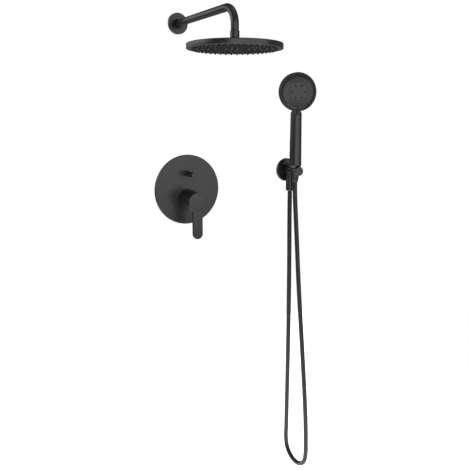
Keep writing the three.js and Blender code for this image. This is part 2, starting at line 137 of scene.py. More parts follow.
def turnedOutward(name, centre, profile, steps=96):
    # profile pairs are radius and distance out of the wall
    points = [(centre.x + r, -h, centre.z) for r, h in profile]
    return spinLine(name, points, (centre.x, 0, centre.z), (0, 1, 0), steps)


def turnedUpright(name, centre, profile, steps=96):
    # profile pairs are radius and height
    points = [(centre.x + r, centre.y, h) for r, h in profile]
    return spinLine(name, points, (centre.x, centre.y, 0), (0, 0, 1), steps)


def rounded(r, h, radius, start, end, steps=5):
    # profile pairs round a corner, between two angles in degrees
    angles = [math.radians(start + (end - start) * i / steps) for i in range(steps + 1)]
    return [(r + radius * math.cos(a), h + radius * math.sin(a)) for a in angles]


def applyModifier(piece, modifier):
    activate(piece)
    bpy.ops.object.modifier_apply(modifier=modifier.name)


def softenEdges(piece, width, segments=3, sharper=40):
    bevel = piece.modifiers.new("edges", "BEVEL")
    bevel.width = width
    bevel.segments = segments
    bevel.limit_method = "ANGLE"
    bevel.angle_limit = math.radians(sharper)
    bevel.use_clamp_overlap = True
    applyModifier(piece, bevel)


def shadeSmooth(piece, angle=32):
    activate(piece)
    bpy.ops.object.shade_smooth_by_angle(angle=math.radians(angle))


def combine(piece, other, operation):
    joiner = piece.modifiers.new("combine", "BOOLEAN")
    joiner.operation = operation
    joiner.object = other
    joiner.solver = "EXACT"
    applyModifier(piece, joiner)
    bpy.data.objects.remove(other, do_unlink=True)


def rod(name, start, end, radius, sides=64):
    start, end = Vector(start), Vector(end)
    along = end - start
    deselectAll()
    bpy.ops.mesh.primitive_cylinder_add(
        vertices=sides, radius=radius, depth=along.length, location=(start + end) / 2,
        rotation=along.to_track_quat("Z", "Y").to_euler())
    return finishPlace(bpy.context.object, name)


def bore(piece, name, start, end, radius, sides=64):
    combine(piece, rod(name, start, end, radius, sides), "DIFFERENCE")


def bar(name, centre, size):
    deselectAll()
    bpy.ops.mesh.primitive_cube_add(size=1, location=centre, scale=size)
    return finishPlace(bpy.context.object, name)


def joinAll(first, others):
    deselectAll()
    for other in others:
        other.select_set(True)
    first.select_set(True)
    bpy.context.view_layer.objects.active = first
    bpy.ops.object.join()
    return first


def turnMesh(piece, centre, angle):
    turn = Matrix.Rotation(angle, 4, "Z")
    there = Matrix.Translation(centre)
    piece.data.transform(there @ turn @ there.inverted())


def settle(piece, body, slot, material, *nodes):
    # the piece takes its finish, rides on its body and stands for its CAD nodes
    piece.data.materials.clear()
    piece.data.materials.append(material)
    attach(piece, body)
    if nodes:
        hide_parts(*nodes)
    return piece


# ---- finishes

def startMaterial(name, values):
    material = bpy.data.materials.new(name)
    material.use_nodes = True
    shader = material.node_tree.nodes["Principled BSDF"]
    shader.inputs["Metallic"].default_value = values.get("metallic", 0)
    shader.inputs["Specular IOR Level"].default_value = values.get("specular", 0.5)
    coordinates = material.node_tree.nodes.new("ShaderNodeTexCoord")
    return material, shader, coordinates.outputs["Object"]


def noise(material, place, scale, detail=3, stretch=None, distortion=0):
    nodes, links = material.node_tree.nodes, material.node_tree.links
    texture = nodes.new("ShaderNodeTexNoise")
    texture.inputs["Scale"].default_value = scale
    texture.inputs["Detail"].default_value = detail
    texture.inputs["Distortion"].default_value = distortion
    if stretch:
        mapping = nodes.new("ShaderNodeMapping")
        mapping.inputs["Scale"].default_value = stretch
        links.new(place, mapping.inputs["Vector"])
        place = mapping.outputs["Vector"]
    links.new(place, texture.inputs["Vector"])
    return texture.outputs["Fac"]


def spread(material, value, low, high, start=0.3, end=0.7):
    # a texture's value spread between two numbers
    node = material.node_tree.nodes.new("ShaderNodeMapRange")
    node.inputs["From Min"].default_value = start
    node.inputs["From Max"].default_value = end
    node.inputs["To Min"].default_value = low
    node.inputs["To Max"].default_value = high
    material.node_tree.links.new(value, node.inputs["Value"])
    return node.outputs["Result"]


def blendColours(material, value, dark, light, start=0.3, end=0.7):
    ramp = material.node_tree.nodes.new("ShaderNodeValToRGB")
    ramp.color_ramp.elements[0].position = start
    ramp.color_ramp.elements[0].color = (*dark, 1)
    ramp.color_ramp.elements[1].position = end
    ramp.color_ramp.elements[1].color = (*light, 1)
    material.node_tree.links.new(value, ramp.inputs["Fac"])
    return ramp.outputs["Color"]


def bumps(material, shader, heights):
    # layers of relief, each a height, its distance in metres and its strength
    before = None
    for height, distance, strength in heights:
        node = material.node_tree.nodes.new("ShaderNodeBump")
        node.inputs["Distance"].default_value = distance
        node.inputs["Strength"].default_value = strength
        material.node_tree.links.new(height, node.inputs["Height"])
        if before:
            material.node_tree.links.new(before, node.inputs["Normal"])
        before = node.outputs["Normal"]
    material.node_tree.links.new(before, shader.inputs["Normal"])


coatingValues = {
    "dark": (0.0078, 0.0079, 0.0081),
    "light": (0.0112, 0.0113, 0.0116),
    "roughness": (0.29, 0.35),
    "specular": 0.75,
    "mottle": 60,  # patches a meter, slight changes of tone
    "peel": 1100,  # fine skin of a sprayed coat
}


def coatingMaterial(values):
    material, shader, place = startMaterial("matteBlackCoating", values)
    links = material.node_tree.links
    mottle = noise(material, place, values["mottle"], 4)
    peel = noise(material, place, values["peel"], 2)
    wipe = noise(material, place, 14, 5, distortion=0.6)
    links.new(blendColours(material, mottle, values["dark"], values["light"]), shader.inputs["Base Color"])
    links.new(spread(material, wipe, *values["roughness"]), shader.inputs["Roughness"])
    bumps(material, shader, [(peel, 0.00003, 0.5)])
    return material


plasticValues = {
    "dark": (0.0080, 0.0080, 0.0083),
    "light": (0.0115, 0.0115, 0.0118),
    "roughness": (0.42, 0.52),
    "specular": 0.45,
    "grain": 1600,
}


def plasticMaterial(values):
    material, shader, place = startMaterial("mouldedBlackPlastic", values)
    links = material.node_tree.links
    cloud = noise(material, place, 90, 3)
    grain = noise(material, place, values["grain"], 2)
    links.new(blendColours(material, cloud, values["dark"], values["light"]), shader.inputs["Base Color"])
    links.new(spread(material, grain, *values["roughness"]), shader.inputs["Roughness"])
    bumps(material, shader, [(grain, 0.00004, 0.4)])
    return material


siliconeValues = {
    "dark": (0.0110, 0.0110, 0.0115),
    "light": (0.0160, 0.0160, 0.0167),
    "roughness": (0.55, 0.68),
    "specular": 0.4,
}


def siliconeMaterial(values):
    material, shader, place = startMaterial("greySilicone", values)
    links = material.node_tree.links
    cloud = noise(material, place, 120, 4)
    skin = noise(material, place, 900, 3)
    links.new(blendColours(material, cloud, values["dark"], values["light"]), shader.inputs["Base Color"])
    links.new(spread(material, cloud, *values["roughness"]), shader.inputs["Roughness"])
    bumps(material, shader, [(skin, 0.00005, 0.4)])
    return material


rubberValues = {
    "dark": (0.010, 0.010, 0.010),
    "light": (0.020, 0.020, 0.021),
    "roughness": (0.72, 0.86),
    "specular": 0.3,
}


def rubberMaterial(values):
    material, shader, place = startMaterial("blackRubber", values)
    links = material.node_tree.links
    bloom = noise(material, place, 200, 5)
    skin = noise(material, place, 1500, 3)
    links.new(blendColours(material, bloom, values["dark"], values["light"]), shader.inputs["Base Color"])
    links.new(spread(material, bloom, *values["roughness"]), shader.inputs["Roughness"])
    bumps(material, shader, [(skin, 0.00006, 0.5)])
    return material


brassValues = {
    "dark": (0.42, 0.27, 0.085),
    "light": (0.62, 0.43, 0.16),
    "roughness": (0.30, 0.52),
    "metallic": 1,
    "castGrain": 700,
}


def brassMaterial(values):
    material, shader, place = startMaterial("rawBrass", values)
    links = material.node_tree.links
    tarnish = noise(material, place, 45, 6, distortion=0.4)
    cast = noise(material, place, values["castGrain"], 4)
    turning = noise(material, place, 300, 2, stretch=(1, 14, 1))
    links.new(blendColours(material, tarnish, values["dark"], values["light"]), shader.inputs["Base Color"])
    links.new(spread(material, tarnish, *values["roughness"]), shader.inputs["Roughness"])
    bumps(material, shader, [(cast, 0.00012, 0.5), (turning, 0.00003, 0.3)])
    return material


steelValues = {
    "dark": (0.46, 0.47, 0.48),
    "light": (0.62, 0.63, 0.64),
    "roughness": (0.24, 0.40),
    "metallic": 1,
}


def steelMaterial(values):
    material, shader, place = startMaterial("brushedSteel", values)
    links = material.node_tree.links
    brushing = noise(material, place, 260, 4, stretch=(1, 1, 18))
    links.new(blendColours(material, brushing, values["dark"], values["light"]), shader.inputs["Base Color"])
    links.new(spread(material, brushing, *values["roughness"]), shader.inputs["Roughness"])
    bumps(material, shader, [(brushing, 0.00003, 0.4)])
    return material


acetalValues = {
    "dark": (0.70, 0.69, 0.65),
    "light": (0.79, 0.78, 0.74),
    "roughness": (0.36, 0.48),
    "specular": 0.45,
}


def acetalMaterial(values):
    material, shader, place = startMaterial("whiteAcetal", values)
    links = material.node_tree.links
    flow = noise(material, place, 80, 4, distortion=0.8)
    skin = noise(material, place, 1300, 2)
    links.new(blendColours(material, flow, values["dark"], values["light"]), shader.inputs["Base Color"])
    links.new(spread(material, flow, *values["roughness"]), shader.inputs["Roughness"])
    bumps(material, shader, [(skin, 0.00003, 0.3)])
    return material


ceramicValues = {
    "dark": (0.66, 0.64, 0.59),
    "light": (0.76, 0.74, 0.70),
    "roughness": (0.14, 0.24),
    "specular": 0.6,
}


def ceramicMaterial(values):
    material, shader, place = startMaterial("lappedCeramic", values)
    links = material.node_tree.links
    speck = noise(material, place, 900, 5)
    lapping = noise(material, place, 500, 3, stretch=(8, 1, 1))
    links.new(blendColours(material, speck, values["dark"], values["light"]), shader.inputs["Base Color"])
    links.new(spread(material, lapping, *values["roughness"]), shader.inputs["Roughness"])
    bumps(material, shader, [(lapping, 0.00001, 0.3)])
    return material


foamValues = {
    "dark": (0.055, 0.057, 0.060),
    "light": (0.105, 0.107, 0.112),
    "cells": 1100,
    "roughness": (0.85, 0.95),
    "specular": 0.2,
}


def foamMaterial(values):
    material, shader, place = startMaterial("greyFoam", values)
    nodes, links = material.node_tree.nodes, material.node_tree.links
    cells = nodes.new("ShaderNodeTexVoronoi")
    cells.inputs["Scale"].default_value = values["cells"]
    links.new(place, cells.inputs["Vector"])
    cell = cells.outputs["Distance"]
    tone = blendColours(material, cell, values["dark"], values["light"], 0.1, 0.6)
    links.new(tone, shader.inputs["Base Color"])
    links.new(spread(material, cell, *values["roughness"]), shader.inputs["Roughness"])
    bumps(material, shader, [(cell, 0.0003, 0.6)])
    return material


hoseFinishValues = {
    "dark": (0.0085, 0.0086, 0.0089),
    "light": (0.0130, 0.0131, 0.0135),
    "roughness": (0.36, 0.44),
    "specular": 0.5,
    "turns": 420,  # turns of the wound tape under the cover along the whole hose
}


def hoseMaterial(values):
    # the cover follows the hose by its UV map: U runs along it, V round it
    material, shader, place = startMaterial("hoseCover", values)
    nodes, links = material.node_tree.nodes, material.node_tree.links
    uv = nodes.new("ShaderNodeUVMap")
    uv.uv_map = "alongHose"
    mapping = nodes.new("ShaderNodeMapping")
    mapping.inputs["Scale"].default_value = (values["turns"], 1, 1)
    links.new(uv.outputs["UV"], mapping.inputs["Vector"])
    tape = nodes.new("ShaderNodeTexWave")
    tape.wave_profile = "SIN"
    tape.bands_direction = "DIAGONAL"
    tape.inputs["Scale"].default_value = 0.3142
    tape.inputs["Distortion"].default_value = 0
    links.new(mapping.outputs["Vector"], tape.inputs["Vector"])
    scuff = noise(material, place, 70, 5)
    skin = noise(material, place, 1200, 2)
    links.new(blendColours(material, scuff, values["dark"], values["light"]), shader.inputs["Base Color"])
    links.new(spread(material, scuff, *values["roughness"]), shader.inputs["Roughness"])
    bumps(material, shader, [(tape.outputs["Fac"], 0.0002, 0.35), (skin, 0.00003, 0.4)])
    return material


finishes = {
    "matte_black": coatingMaterial(coatingValues),
    "black_plastic": plasticMaterial(plasticValues),
    "hose_black": hoseMaterial(hoseFinishValues),
    "grey_silicone": siliconeMaterial(siliconeValues),
    "black_rubber": rubberMaterial(rubberValues),
    "raw_brass": brassMaterial(brassValues),
    "steel": steelMaterial(steelValues),
    "white_acetal": acetalMaterial(acetalValues),
    "ceramic_white": ceramicMaterial(ceramicValues),
    "grey_foam": foamMaterial(foamValues),
}
slotOf = {part["node"]: part["material_slot"] for part in frame["record"]["subparts"]}
for node, piece in frame["nodes"].items():
    piece.data.materials.clear()
    piece.data.materials.append(finishes[slotOf[node]])
print("finishes made:", len(finishes))


def finishAs(piece, body, node):
    return settle(piece, body, slotOf[node], finishes[slotOf[node]], node)


# ---- hose

hoseValues = {"diameter": 0.0128, "sides": 6, "smoothness": 6}

# from the outlet's nut down and up to the handset's cone nut
hoseRoute = [
    (0.310, -0.0230, -0.0213), (0.310, -0.0232, -0.0600), (0.310, -0.0238, -0.1200),
    (0.310, -0.0252, -0.1900), (0.310, -0.0263, -0.2700), (0.310, -0.0268, -0.3600),
    (0.310, -0.0268, -0.4500), (0.310, -0.0262, -0.5400), (0.310, -0.0254, -0.6180),
    (0.310, -0.0247, -0.6860), (0.310, -0.0242, -0.7410), (0.310, -0.0240, -0.7840),
    (0.310, -0.0306, -0.8088), (0.310, -0.0488, -0.8269), (0.310, -0.0735, -0.8335),
    (0.310, -0.0983, -0.8269), (0.310, -0.1164, -0.8088), (0.310, -0.1230, -0.7840),
    (0.310, -0.1232, -0.7400), (0.310, -0.1208, -0.6930), (0.310, -0.1148, -0.6260),
    (0.310, -0.1050, -0.5400), (0.310, -0.0940, -0.4500), (0.310, -0.0826, -0.3600),
    (0.310, -0.0720, -0.2700), (0.310, -0.0640, -0.1900), (0.310, -0.0570, -0.1200),
    (0.310, -0.0508, -0.0600), (0.310, -0.0476, -0.0200), (0.310, -0.0470, 0.0057),
]


def buildHose(values, route):
    curve = bpy.data.curves.new("hoseLine", "CURVE")
    curve.dimensions = "3D"
    curve.resolution_u = values["smoothness"]
    curve.bevel_depth = values["diameter"] / 2
    curve.bevel_resolution = values["sides"]
    curve.use_fill_caps = True
    spline = curve.splines.new("BEZIER")
    spline.bezier_points.add(len(route) - 1)
    for point, place in zip(spline.bezier_points, route):
        point.co = place
        point.handle_left_type = point.handle_right_type = "AUTO"
    line = curve.copy()
    line.bevel_depth = 0
    middle = [tuple(vertex.co) for vertex in curveToMesh("hoseMiddle", line).data.vertices]
    bpy.data.objects.remove(bpy.context.object, do_unlink=True)
    piece = curveToMesh("showerHose", curve)
    wrapHose(piece, middle)
    shadeSmooth(piece, 50)
    return piece, middle


def curveToMesh(name, curve):
    piece = bpy.data.objects.new(name, curve)
    bpy.context.scene.collection.objects.link(piece)
    activate(piece)
    bpy.ops.object.convert(target="MESH")
    piece = bpy.context.object
    piece.name = piece.data.name = name
    return piece


def routeLength(route):
    return sum((Vector(b) - Vector(a)).length for a, b in zip(route, route[1:]))


def wrapHose(piece, route):
    # U is the share of the length that a point has reached, V its angle round the centreline
    steps = [Vector(p) for p in route]
    lengths = [0]
    for a, b in zip(steps, steps[1:]):
        lengths.append(lengths[-1] + (b - a).length)
    layer = piece.data.uv_layers.new(name="alongHose")
    shares = []
    for vertex in piece.data.vertices:
        best = (1, 0, 0)
        for i, (a, b) in enumerate(zip(steps, steps[1:])):
            along = b - a
            t = min(1, max(0, (vertex.co - a).dot(along) / along.length_squared))
            off = vertex.co - (a + along * t)
            if off.length < best[0]:
                side = off.dot(along.normalized().cross(Vector((1, 0, 0))))
                best = (off.length, lengths[i] + along.length * t, math.atan2(side, off.x))
        shares.append((best[1] / lengths[-1], best[2] / (2 * math.pi) + 0.5))
    for polygon in piece.data.polygons:
        vs = [shares[i][1] for i in polygon.vertices]
        for corner, index in zip(polygon.loop_indices, polygon.vertices):
            u, v = shares[index]
            if max(vs) - min(vs) > 0.5 and v < 0.5:
                v += 1
            layer.data[corner].uv = (u, v)


hose, hoseMiddle = buildHose(hoseValues, hoseRoute)
hose.data.materials.clear()
hose.data.materials.append(finishes["hose_black"])
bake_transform(hose)
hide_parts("hose")
print("hose laid:", round(routeLength(hoseMiddle), 3), "m")


# ---- rain arm and head

armTubeValues = {"sides": 64, "bend": 0.038, "bendSteps": 22, "wall": 0.0015}


def buildArmTube(values):
    low, high, middle, size = boxOf("arm_tube")
    radius = size.x / 2
    axisZ = high.z - radius
    reach = -low.y - radius
    deselectAll()
    bpy.ops.mesh.primitive_circle_add(
        vertices=values["sides"], radius=radius, fill_type="NOTHING",
        location=(middle.x, high.y, axisZ), rotation=(math.pi / 2, 0, 0))
    piece = finishPlace(bpy.context.object, "armTube")
    bpy.ops.object.mode_set(mode="EDIT")
    bpy.ops.mesh.select_all(action="SELECT")
    straight = reach - values["bend"] + high.y
    bpy.ops.mesh.extrude_region_move(TRANSFORM_OT_translate={"value": (0, -straight, 0)})
    bpy.ops.mesh.spin(
        steps=values["bendSteps"], angle=-math.pi / 2, axis=(1, 0, 0),
        center=(middle.x, values["bend"] - reach, axisZ - values["bend"]))
    drop = axisZ - values["bend"] - low.z
    bpy.ops.mesh.extrude_region_move(TRANSFORM_OT_translate={"value": (0, 0, -drop)})
    closeUp()
    wall = piece.modifiers.new("wall", "SOLIDIFY")
    wall.thickness = values["wall"]
    wall.offset = -1
    applyModifier(piece, wall)
    softenEdges(piece, 0.0004)
    shadeSmooth(piece)
    return finishAs(piece, "root", "arm_tube")


flangeValues = {"edge": 0.0016, "skin": 0.0022, "steps": 128}


def buildFlange(name, node, boreNode, values):
    low, high, middle, size = boxOf(node)
    radius, front, back = size.x / 2, -low.y, -high.y
    bore = boxOf(boreNode)[3].x / 2 + 0.00035
    edge, skin = values["edge"], values["skin"]
    profile = [(bore, front - skin), (radius - skin, front - skin), (radius - skin, back), (radius, back)]
    profile += rounded(radius - edge, front - edge, edge, 0, 90, 7)
    profile += [(bore, front), (bore, front - skin)]
    piece = turnedOutward(name, middle, profile, values["steps"])
    softenEdges(piece, 0.0003, 2)
    shadeSmooth(piece)
    return finishAs(piece, "root", node)


unionNutValues = {"lip": 0.0080, "mouth": 0.00595, "shoulder": 0.0020, "inside": 0.0085, "groove": 0.0003}


def buildUnionNut(values):
    low, high, middle, size = boxOf("union_nut")
    radius, top, bottom = size.x / 2, high.z, low.z
    ball = boxOf("swivel_ball")
    ballRadius = 0.0065
    centreZ = Vector(joints["head_tilt"]["pos_m"]).z
    shoulder = bottom + values["shoulder"]
    profile = [(values["inside"], top), (radius, top), (radius, top - 0.0022),
               (radius - values["groove"], top - 0.0024),
               (radius - values["groove"], top - 0.0030), (radius, top - 0.0032), (radius, shoulder)]
    profile += [(values["lip"] + 0.0008, bottom + 0.0006), (values["lip"], bottom), (values["mouth"], bottom)]
    profile += rounded(0, centreZ, ballRadius, -24, 12, 5)
    profile += [(values["inside"], bottom + 0.0046), (values["inside"], top)]
    piece = turnedUpright("unionNut", ball[2], profile)
    softenEdges(piece, 0.0005, 3, 28)
    shadeSmooth(piece, 40)
    return finishAs(piece, "root", "union_nut")


swivelValues = {"bore": 0.0026, "ball": 0.0062, "neck": 0.0046, "collar": 0.0070, "spigot": 0.0059}


def buildSwivelBall(values):
    low, high, middle, size = boxOf("swivel_ball")
    centreZ = Vector(joints["head_tilt"]["pos_m"]).z
    shellTop = boxOf("head_upper_shell")[1].z
    profile = [(values["bore"], high.z)] + rounded(0, centreZ, values["ball"], 65, -42, 20)
    collarTop, collarFoot = shellTop + 0.002, shellTop + 0.0003
    profile += [(values["neck"], collarTop), (values["collar"], collarTop), (values["collar"], collarFoot),
                (values["spigot"], collarFoot), (values["spigot"], low.z), (values["bore"], low.z),
                (values["bore"], high.z)]
    piece = turnedUpright("swivelBall", middle, profile, 72)
    softenEdges(piece, 0.0003, 2)
    shadeSmooth(piece, 40)
    return finishAs(piece, "rain_head", "swivel_ball")


headShellValues = {
    "hole": 0.0062, "hub": 0.011, "hubFoot": 0.0135, "crown": 0.060, "edge": 0.0016, "lipWidth": 0.003,
}


def buildHeadShell(values):
    low, high, middle, size = boxOf("head_upper_shell")
    radius, top, bottom = size.x / 2, high.z, low.z
    edge, hub, foot = values["edge"], values["hub"], values["hubFoot"]
    profile = [(values["hole"], top)] + rounded(hub - 0.0008, top - 0.0008, 0.0008, 90, 0, 4)
    profile += rounded(foot + 0.0006, top - 0.0012, 0.0014, 180, 250, 4)
    profile += [(0.030, top - 0.0030), (values["crown"], top - 0.0040), (0.080, top - 0.0047)]
    profile += rounded(radius - edge, top - 0.0054 - edge, edge, 80, 0, 6)
    profile += rounded(radius - 0.0009, bottom + 0.0009, 0.0009, 0, -90, 4)
    inner = radius - values["lipWidth"]
    profile += [(inner, bottom), (inner, top - 0.0086), (0.060, top - 0.0062), (0.0125, top - 0.0050),
                (0.0125, top - 0.009), (values["hole"], top - 0.009), (values["hole"], top)]
    piece = turnedUpright("headShell", middle, profile, 192)
    softenEdges(piece, 0.0003, 2)
    shadeSmooth(piece, 25)
    return finishAs(piece, "rain_head", "head_upper_shell")


def buildHeadFaceRing():
    low, high, middle, size = boxOf("head_face_ring")
    outer, top, bottom = size.x / 2, high.z, low.z
    profile = [(0.090, bottom), (outer, bottom), (outer, top), (outer - 0.002, top),
               (outer - 0.002, bottom + 0.0016),
               (0.090, bottom + 0.0016), (0.090, bottom)]
    piece = turnedUpright("headFaceRing", middle, profile, 192)
    softenEdges(piece, 0.0003, 2)
    shadeSmooth(piece)
    return finishAs(piece, "rain_head", "head_face_ring")


nozzleMatValues = {
    "ringGap": 0.0123,  # between rings, and about the same between nozzles of one ring
    "rings": 7,
    "foot": 0.0028,
    "tip": 0.0018,
    "height": 0.0037,
    "hole": 0.0006,
}


def nozzleShape(name, foot, tip, height, hole, sides=12):
    # one nozzle pointing down from the origin: a stepped cone with a hole in its end
    deselectAll()
    bpy.ops.mesh.primitive_cylinder_add(vertices=sides, radius=foot, depth=0.0012, location=(0, 0, 0))
    nozzle = finishPlace(bpy.context.object, name)
    bpy.ops.object.mode_set(mode="EDIT")
    mesh = bmesh.from_edit_mesh(nozzle.data)
    for face in mesh.faces:
        face.select_set(face.normal.z < -0.9)
    bmesh.update_edit_mesh(nozzle.data)
    shrink = tip / foot
    bpy.ops.mesh.extrude_region_move(TRANSFORM_OT_translate={"value": (0, 0, -height)})
    bpy.ops.transform.resize(value=(shrink, shrink, 1))
    bpy.ops.mesh.inset(thickness=tip - hole)
    bpy.ops.mesh.extrude_region_move(TRANSFORM_OT_translate={"value": (0, 0, 0.0012)})
    bpy.ops.object.mode_set(mode="OBJECT")
    return nozzle


def ringPlaces(centre, rings, gap, firstRadius):
    places = []
    for ring in range(rings):
        radius = firstRadius + ring * gap
        count = max(6, round(2 * math.pi * radius / gap))
        for i in range(count):
            angle = 2 * math.pi * (i + 0.5 * (ring % 2)) / count
            places.append(centre + Vector((radius * math.cos(angle), radius * math.sin(angle), 0)))
    return places


def copyTo(shape, places):
    copies = []
    for place in places:
        copy = shape.copy()
        copy.data = shape.data.copy()
        copy.data.transform(Matrix.Translation(place))
        bpy.context.scene.collection.objects.link(copy)
        copies.append(copy)
    bpy.data.objects.remove(shape, do_unlink=True)
    return copies


def buildNozzleMat(values):
    low, high, middle, size = boxOf("head_nozzle_mat")
    face = boxOf("head_face_ring")[0].z + 0.0003
    seat = boxOf("head_face_ring")[0].z + 0.0019
    outer = size.x / 2
    profile = [(0, face), (0.0894, face), (0.0894, seat), (outer, seat), (outer, high.z), (0, high.z)]
    mat = turnedUpright("rainNozzleMat", middle, profile, 96)
    softenEdges(mat, 0.0003, 2)
    nozzle = nozzleShape("rainNozzle", values["foot"], values["tip"], values["height"], values["hole"])
    centre = Vector((middle.x, middle.y, face + 0.0004))
    places = [centre] + ringPlaces(centre, values["rings"], values["ringGap"], values["ringGap"])
    joinAll(mat, copyTo(nozzle, places))
    shadeSmooth(mat, 38)
    return finishAs(mat, "rain_head", "head_nozzle_mat")


buildArmTube(armTubeValues)
buildFlange("armFlange", "arm_flange", "arm_tube", flangeValues)
buildUnionNut(unionNutValues)
buildSwivelBall(swivelValues)
buildHeadShell(headShellValues)
buildHeadFaceRing()
buildNozzleMat(nozzleMatValues)
print("rain arm and head built")


# ---- mixer

coverPlateValues = {"edge": 0.0018, "skin": 0.002, "steps": 192, "knobHole": 0.0082, "clear": 0.0004}


def buildCoverPlate(values):
    low, high, middle, size = boxOf("cover_plate")
    radius, front, back = size.x / 2, -low.y, -high.y
    edge, skin = values["edge"], values["skin"]
    profile = [(0, front - skin), (radius - skin, front - skin), (radius - skin, back), (radius, back)]
    profile += rounded(radius - edge, front - edge, edge, 0, 90, 8)
    profile += [(radius * 0.6, front), (0, front)]
    piece = turnedOutward("coverPlate", middle, profile, values["steps"])
    sleeve = boxOf("mixer_sleeve")
    knob = boxOf("diverter_bush")[2]
    wide = sleeve[3].x / 2 + values["clear"]
    for centre, bore in ((sleeve[2], wide), (knob, values["knobHole"])):
        hole = rod("hole", (centre.x, 0.01, centre.z), (centre.x, -0.02, centre.z), bore, 96)
        combine(piece, hole, "DIFFERENCE")
    softenEdges(piece, 0.0003, 2)
    shadeSmooth(piece, 25)
    return finishAs(piece, "root", "cover_plate")


sleeveValues = {
    "straight": 0.008, "tip": 0.0234, "wall": 0.0013, "web": 0.0221, "lipDepth": 0.018, "edge": 0.0006,
}


def buildSleeve(values):
    # tapers from the plate to the lever, over a straight foot
    low, high, middle, size = boxOf("mixer_sleeve")
    radius, front, back = size.x / 2, -low.y, -high.y
    tip, edge, web, straight = values["tip"], values["edge"], values["web"], values["straight"]
    inside = radius - values["wall"]
    profile = [(inside, back), (radius, back), (radius, straight)]
    profile += rounded(tip - edge, front - edge, edge, 0, 90, 6)
    profile += [(tip - values["wall"], front), (web, front - values["lipDepth"]), (web, straight),
                (inside, straight - 0.002), (inside, back)]
    piece = turnedOutward("mixerSleeve", middle, profile, 128)
    shadeSmooth(piece, 40)
    return finishAs(piece, "root", "mixer_sleeve")



leverValues = {
    "paddle": 0.0134, "fillet": 0.012, "thick": 0.007, "neck": 0.011, "edge": 0.0013, "grub": 0.0022,
}


def leverOutline(centre, disc, tipZ, y, values):
    # disc and paddle with a fillet in each corner between them, drawn round once
    half, fillet = values["paddle"], values["fillet"]
    cornerX = half + fillet
    cornerZ = -math.sqrt((disc + fillet) ** 2 - cornerX ** 2)
    meet = math.degrees(math.atan2(cornerZ, cornerX))
    tip = tipZ - centre.z + half
    pairs = rounded(cornerX, cornerZ, fillet, 180, 180 + meet, 10)
    pairs += rounded(0, 0, disc, meet, 180 - meet, 60)[1:-1]
    pairs += rounded(-cornerX, cornerZ, fillet, -meet, 0, 10)
    pairs += rounded(0, tip, half, 180, 360, 28)
    return [(centre.x + a, y, centre.z + b) for a, b in pairs]


def buildLever(values):
    low, high, middle, size = boxOf("lever")
    centre = Vector(joints["lever_turn"]["pos_m"])
    disc = size.x / 2
    front = low.y
    back = front + values["thick"]
    outline = leverOutline(centre, disc, low.z, back, values)
    piece = drawLine("mixerLever", outline + outline[:1])
    bpy.ops.mesh.select_all(action="SELECT")
    bpy.ops.mesh.remove_doubles(threshold=2e-6)
    bpy.ops.mesh.edge_face_add()
    bpy.ops.mesh.extrude_region_move(TRANSFORM_OT_translate={"value": (0, front - back, 0)})
    closeUp()
    softenEdges(piece, values["edge"], 5)
    hub = rod("hub", (centre.x, high.y, centre.z), (centre.x, back - 0.001, centre.z), values["neck"], 72)
    combine(piece, hub, "UNION")
    stem = boxOf("cartridge_stem")[3].x + 0.0006
    socketEnd = boxOf("cartridge_stem")[0].y - 0.0004
    socketMiddle = (high.y + 0.002 + socketEnd) / 2
    socket = bar("socket", (centre.x, socketMiddle, centre.z), (stem, high.y + 0.002 - socketEnd, stem))
    combine(piece, socket, "DIFFERENCE")
    screwY = boxOf("lever_grub_screw")[2].y
    grub = rod("grub", (centre.x, screwY, centre.z), (centre.x, screwY, centre.z - 0.013), values["grub"], 32)
    combine(piece, grub, "DIFFERENCE")
    shadeSmooth(piece)
    return finishAs(piece, "lever", "lever")


def buildDiverterBush():
    low, high, middle, size = boxOf("diverter_bush")
    radius, front, back = size.x / 2, -low.y, -high.y
    bore = knobValues["neck"] + 0.0003
    profile = [(bore, back), (radius, back), (radius, front), (bore, front), (bore, back)]
    piece = turnedOutward("diverterBush", middle, profile, 72)
    softenEdges(piece, 0.0004, 3)
    shadeSmooth(piece)
    return finishAs(piece, "root", "diverter_bush")


knobValues = {"neck": 0.0056, "bore": 0.0043, "neckEnd": 0.016, "rim": 0.0006, "dish": 0.0003}


def buildDiverterKnob(values):
    low, high, middle, size = boxOf("diverter_knob")
    radius, front, back = size.x / 2, -low.y, -high.y
    neck, rim = values["neck"], values["rim"]
    seat = -boxOf("diverter_spindle")[0].y + 0.0003
    profile = [(0, seat), (values["bore"], seat), (values["bore"], back), (neck, back)]
    profile += [(neck, values["neckEnd"])]
    profile += [(radius - rim, values["neckEnd"]), (radius, values["neckEnd"] + rim)]
    profile += rounded(radius - rim, front - rim, rim, 0, 90, 5)
    profile += [(radius * 0.6, front), (0, front - values["dish"])]
    piece = turnedOutward("diverterKnob", middle, profile, 96)
    shadeSmooth(piece, 40)
    return finishAs(piece, "diverter", "diverter_knob")


buildCoverPlate(coverPlateValues)
buildSleeve(sleeveValues)
buildLever(leverValues)
buildDiverterBush()
buildDiverterKnob(knobValues)
print("mixer built")


# ---- hand shower

outletValues = {
    "barrel": 0.0125, "thread": 0.01045, "cup": 0.0142, "cupBore": 0.0129,
    "stub": 0.0108, "stubBore": 0.0076, "slot": 0.017, "pinHole": 0.004, "waterway": 0.006,
}


